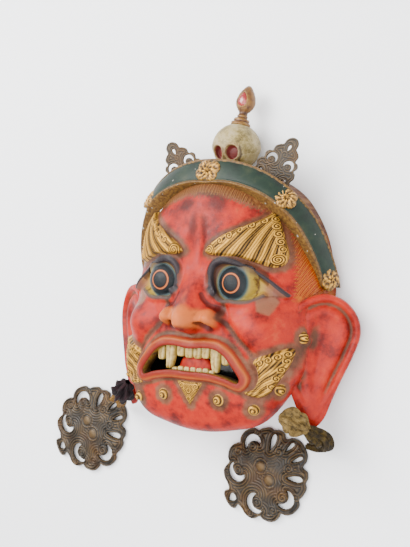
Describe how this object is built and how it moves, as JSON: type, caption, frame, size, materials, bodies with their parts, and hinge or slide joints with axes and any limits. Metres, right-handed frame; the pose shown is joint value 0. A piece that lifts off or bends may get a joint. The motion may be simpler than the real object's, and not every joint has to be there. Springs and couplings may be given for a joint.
{
  "type": "carved wooden guardian dance mask",
  "caption": "Carved and painted wooden dance mask of a wrathful guardian, with a skull-topped crown band, fan-shaped ears and pierced brass ear pendants.",
  "frame": {"origin": "on the flat back rim under the middle of the chin, in the plane that the mask lies on", "axes": "+Z out of the face, +Y from the chin to the crown, +X to the right of someone who faces the mask"},
  "size_m": [0.4522, 0.5206, 0.1462],
  "materials": {
    "painted_wood": "aged red distemper paint with gilding, worn",
    "painted_skull": "mottled cream paint",
    "gilt_wood": "dull gilding over brown ground",
    "aged_brass": "dark oxidised brass",
    "silk": "faded knotted silk"
  },
  "bodies": {
    "root": {"mask": "painted_wood", "skull": "painted_skull", "finial": "gilt_wood", "crown_plate_left": "aged_brass", "crown_plate_right": "aged_brass", "pendant_left": "aged_brass", "pendant_right": "aged_brass", "tie_left": "silk", "tie_right": "silk"}
  },
  "joints": []
}
